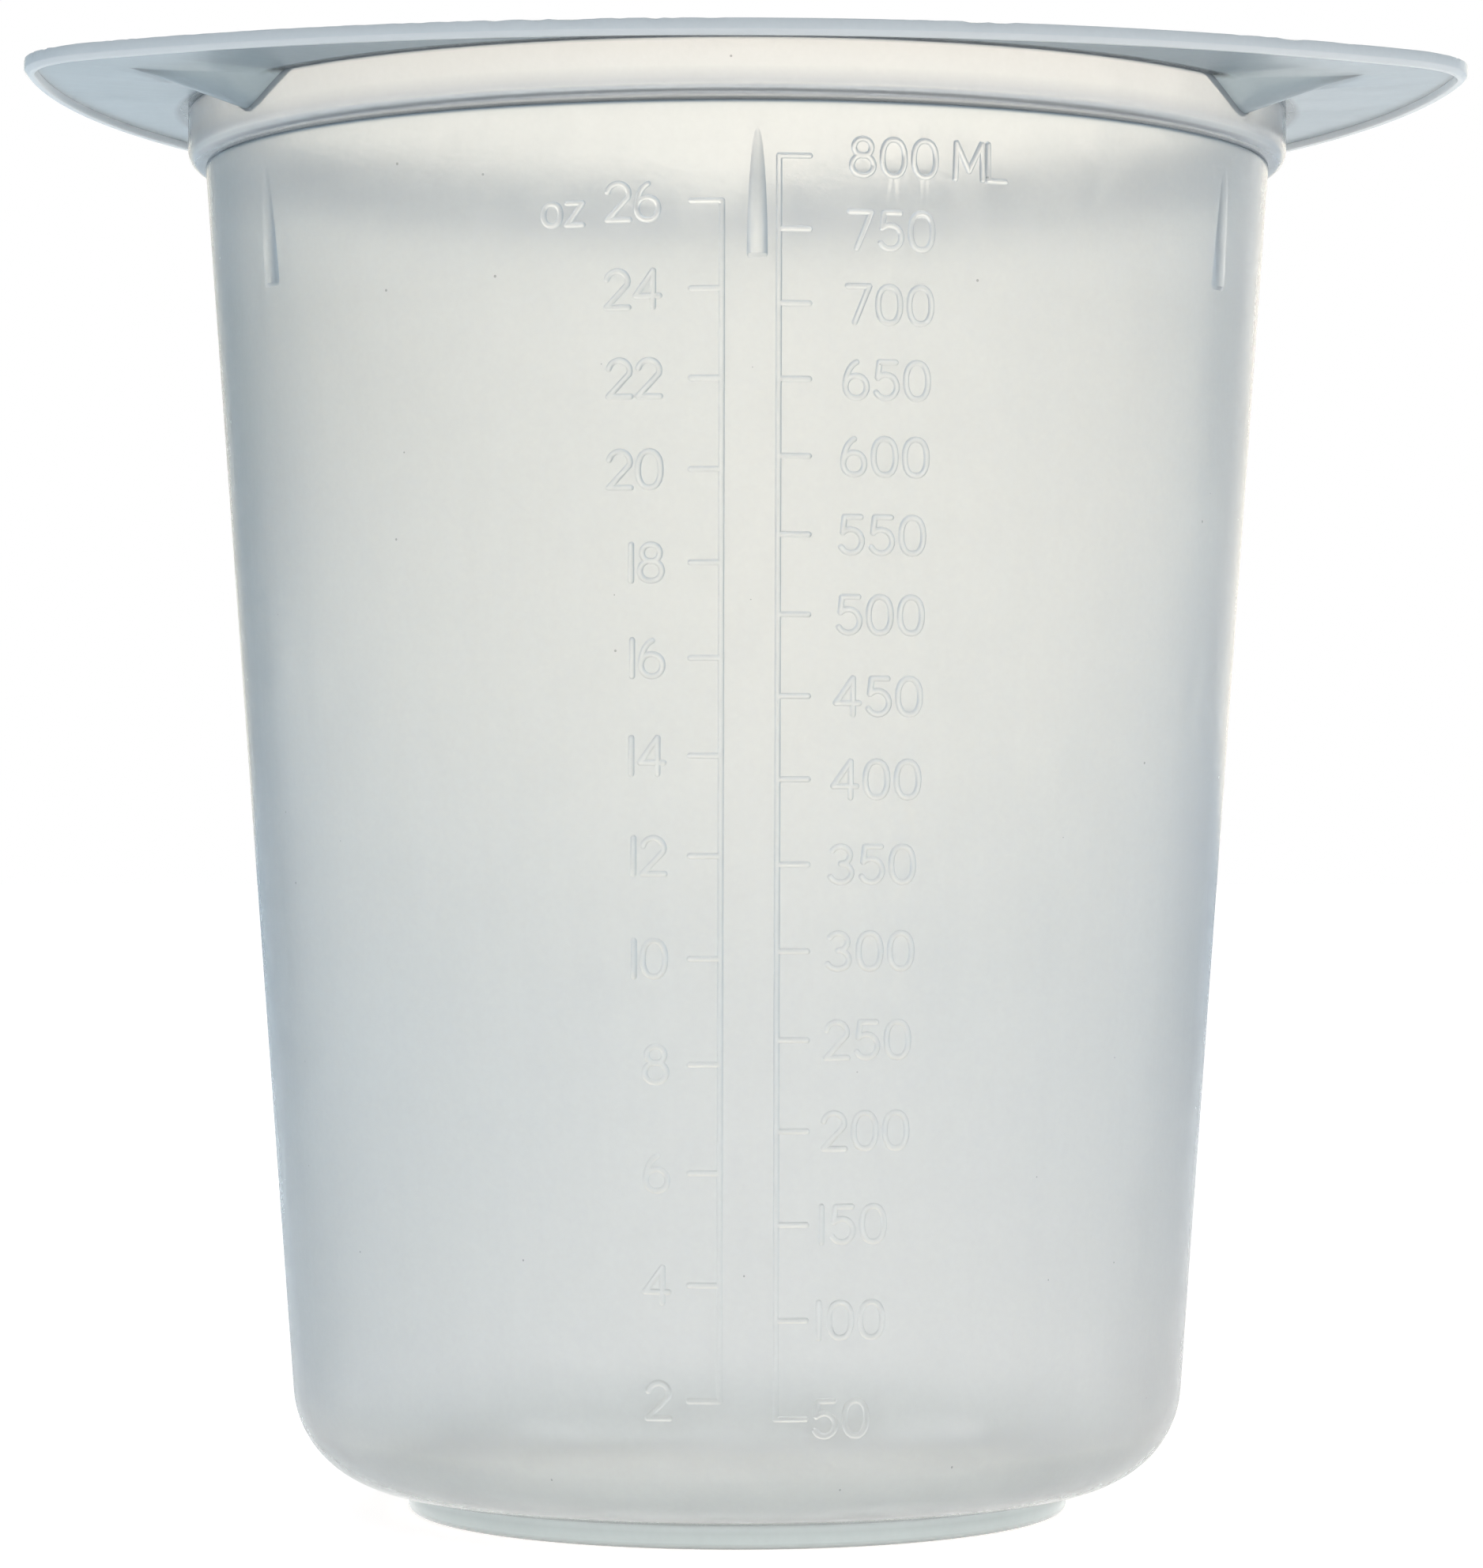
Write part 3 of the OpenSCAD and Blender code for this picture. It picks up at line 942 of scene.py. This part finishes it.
    rough_noise = math_("ADD", mapped(streak, 0.3, 0.7, -0.03, 0.03), mapped(cloud, 0.3, 0.7, rough - 0.03, rough + 0.03))
    L.new(rough_noise, b.inputs["Roughness"])
    bump = N.new("ShaderNodeBump")
    bump.inputs["Strength"].default_value = 0.5
    bump.inputs["Distance"].default_value = 0.00003
    L.new(math_("ADD", math_("MULTIPLY", grain, 0.5), math_("MULTIPLY", streak, 1.0)), bump.inputs["Height"])
    L.new(bump.outputs[0], b.inputs["Normal"])
    b.inputs["IOR"].default_value = 1.49
    b.inputs["Subsurface Weight"].default_value = 1.0
    b.inputs["Subsurface Radius"].default_value = (1.0, 1.0, 1.0)
    b.inputs["Subsurface Scale"].default_value = glow
    b.inputs["Transmission Weight"].default_value = clear
    L.new(b.outputs[0], out.inputs[0])
    return mat


# one plastic throughout; the tints differ by piece as painted shade: the collar darker than the wall, the foot and most
# of all the rim plate darker and bluer, the bead a little blue
LOOKS = {
    "cup_body": dict(tint=(0.968, 0.97, 0.956), clear=0.82, glow=0.003),
    "collar": dict(tint=(0.85, 0.845, 0.845), clear=0.78, glow=0.003),
    "rim_plate": dict(tint=(0.49, 0.548, 0.578), clear=0.5, glow=0.002, specks=False),
    "rim_bead": dict(tint=(0.92, 0.955, 0.965), clear=0.2, glow=0.002, specks=False),
    "foot": dict(tint=(0.60, 0.64, 0.645), clear=0.28, glow=0.002, specks=False),
}
for ob in PIECES:
    ob.data.materials.append(plastic(ob.name + "_polypropylene", **LOOKS[ob.name]))


# ------------------------------------------------------- stage and lighting
S = 6.0
floor_mesh = bpy.data.meshes.new("studio_floor")
floor_mesh.from_pydata([(-S, -S, 0), (S, -S, 0), (S, S, 0), (-S, S, 0)], [], [(0, 1, 2, 3)])
floor = bpy.data.objects.new("studio_floor", floor_mesh)
bpy.context.scene.collection.objects.link(floor)

world = bpy.data.worlds.new("studio")
bpy.context.scene.world = world
world.use_nodes = True
nt = world.node_tree
nt.nodes.clear()
N, L = nt.nodes, nt.links
w_out = N.new("ShaderNodeOutputWorld")
bg = N.new("ShaderNodeBackground")
bg_seen = N.new("ShaderNodeBackground")
bg_seen.inputs[0].default_value = (1, 1, 1, 1)
bg_seen.inputs[1].default_value = 1.0
coord = N.new("ShaderNodeTexCoord")
sep = N.new("ShaderNodeSeparateXYZ")
L.new(coord.outputs["Generated"], sep.inputs[0])


def ramp(socket, stops, lo=-1.0, hi=1.0):
    m = N.new("ShaderNodeMapRange")
    m.inputs[1].default_value, m.inputs[2].default_value = lo, hi
    L.new(socket, m.inputs[0])
    r = N.new("ShaderNodeValToRGB")
    r.color_ramp.interpolation = "EASE"
    while len(r.color_ramp.elements) < len(stops):
        r.color_ramp.elements.new(0.5)
    for e, (p, c) in zip(r.color_ramp.elements, stops):
        e.position = (p - lo) / (hi - lo)
        e.color = (*c, 1)
    L.new(m.outputs[0], r.inputs[0])
    return r.outputs[0]


def blend(kind, fac, a, b):
    m = N.new("ShaderNodeMix")
    m.data_type = "RGBA"
    m.blend_type = kind
    if isinstance(fac, float):
        m.inputs[0].default_value = fac
    else:
        L.new(fac, m.inputs[0])
    L.new(a, m.inputs[6])
    L.new(b, m.inputs[7])
    return m.outputs[2]


# a bright warm field behind the beaker, a dimmer cooler room at its sides and in front, and a soft ceiling
behind = ramp(sep.outputs[0], [(-1.0, (0.19, 0.27, 0.34)), (-0.48, (0.40, 0.50, 0.56)), (-0.12, (1.28, 1.23, 1.10)),
                               (0.06, (1.54, 1.46, 1.29)), (0.27, (1.58, 1.50, 1.34)), (0.56, (1.10, 1.13, 1.12)),
                               (0.82, (0.58, 0.67, 0.73)), (1.0, (0.36, 0.45, 0.52))])
front = ramp(sep.outputs[0], [(-1.0, (0.18, 0.27, 0.36)), (-0.3, (0.57, 0.65, 0.72)), (0.3, (0.70, 0.745, 0.77)),
                              (1.0, (0.28, 0.37, 0.45))])
turn = ramp(sep.outputs[1], [(-0.1, (0, 0, 0)), (0.5, (1, 1, 1))])
height = ramp(sep.outputs[2], [(-0.3, (1, 1, 1)), (0.15, (1, 1, 1)), (0.6, (0.62, 0.65, 0.68)), (1.0, (0.5, 0.53, 0.56))])
round_about = blend("MIX", turn, front, behind)
sky = blend("MULTIPLY", 1.0, round_about, height)
L.new(sky, bg.inputs[0])
bg.inputs[1].default_value = 1.0
path = N.new("ShaderNodeLightPath")
mix = N.new("ShaderNodeMixShader")
L.new(path.outputs["Is Camera Ray"], mix.inputs[0])
L.new(bg.outputs[0], mix.inputs[1])
L.new(bg_seen.outputs[0], mix.inputs[2])
L.new(mix.outputs[0], w_out.inputs[0])


# the floor is a light table: seen plain white, and it gives less light and a bluer one out to the sides
floor_mat = bpy.data.materials.new("studio_floor")
nt, N, L = nodes_of(floor_mat)
f_out = N.new("ShaderNodeOutputMaterial")
f_b = N.new("ShaderNodeBsdfPrincipled")
f_b.inputs["Base Color"].default_value = (0.9, 0.9, 0.9, 1)
f_b.inputs["Roughness"].default_value = 0.9
f_b.inputs["Specular IOR Level"].default_value = 0.0
f_b.inputs["Emission Strength"].default_value = 1.0
f_coord = N.new("ShaderNodeTexCoord")
f_xyz = N.new("ShaderNodeSeparateXYZ")
L.new(f_coord.outputs["Object"], f_xyz.inputs[0])
across = ramp(f_xyz.outputs[0], [(-0.40, (0.20, 0.28, 0.35)), (-0.13, (0.40, 0.47, 0.52)), (-0.01, (0.66, 0.635, 0.60)),
                                 (0.08, (0.69, 0.66, 0.625)), (0.22, (0.52, 0.55, 0.57)), (0.45, (0.26, 0.32, 0.38))], -0.5, 0.5)
f_map = N.new("ShaderNodeMapping")
f_map.inputs["Scale"].default_value = (20, 20, 20)
L.new(f_coord.outputs["Object"], f_map.inputs[0])
f_ball = N.new("ShaderNodeTexGradient")
f_ball.gradient_type = "SPHERICAL"
L.new(f_map.outputs[0], f_ball.inputs[0])
middle = ramp(f_ball.outputs[0], [(0.0, (0, 0, 0)), (0.75, (0.70, 0.69, 0.68))], 0.0, 1.0)
seen = N.new("ShaderNodeRGB")
seen.outputs[0].default_value = (0.74, 0.70, 0.68, 1)
f_path = N.new("ShaderNodeLightPath")
L.new(blend("MIX", f_path.outputs["Is Camera Ray"], blend("ADD", 1.0, across, middle), seen.outputs[0]),
      f_b.inputs["Emission Color"])
L.new(f_b.outputs[0], f_out.inputs[0])
floor_mesh.materials.append(floor_mat)


def soft_light(name, at, aim, size, power, color=(1, 1, 1)):
    data = bpy.data.lights.new(name, "AREA")
    data.shape = "RECTANGLE"
    data.size, data.size_y = size
    data.energy = power
    data.color = color
    ob = bpy.data.objects.new(name, data)
    ob.location = at
    ob.rotation_euler = (Vector(aim) - Vector(at)).to_track_quat("-Z", "Y").to_euler()
    bpy.context.scene.collection.objects.link(ob)
    return ob


soft_light("overhead", (0, 0.1, 1.6), (0, 0, 0), (1.6, 1.6), 1.5)

scene = bpy.context.scene
scene.view_settings.view_transform = "Standard"
scene.view_settings.look = "None"

# ------------------------------------------------------------------- camera
F_PX, D_CAM, Z_CAM, PITCH, YAW, AZ = 6428.5, 495.7, 65.32, 0.564, 0.049, 2.0
cam = bpy.data.cameras.new("camera")
cam.sensor_width = 36.0
cam.lens = F_PX * 36.0 / 1984.0
cam.clip_start, cam.clip_end = 0.05, 50
camera = bpy.data.objects.new("camera", cam)
scene.collection.objects.link(camera)
az = math.radians(AZ)
camera.location = (-D_CAM * MM * math.sin(az), -D_CAM * MM * math.cos(az), Z_CAM * MM)
camera.rotation_euler = (math.radians(90 + PITCH), 0, -az - math.radians(YAW))
scene.camera = camera
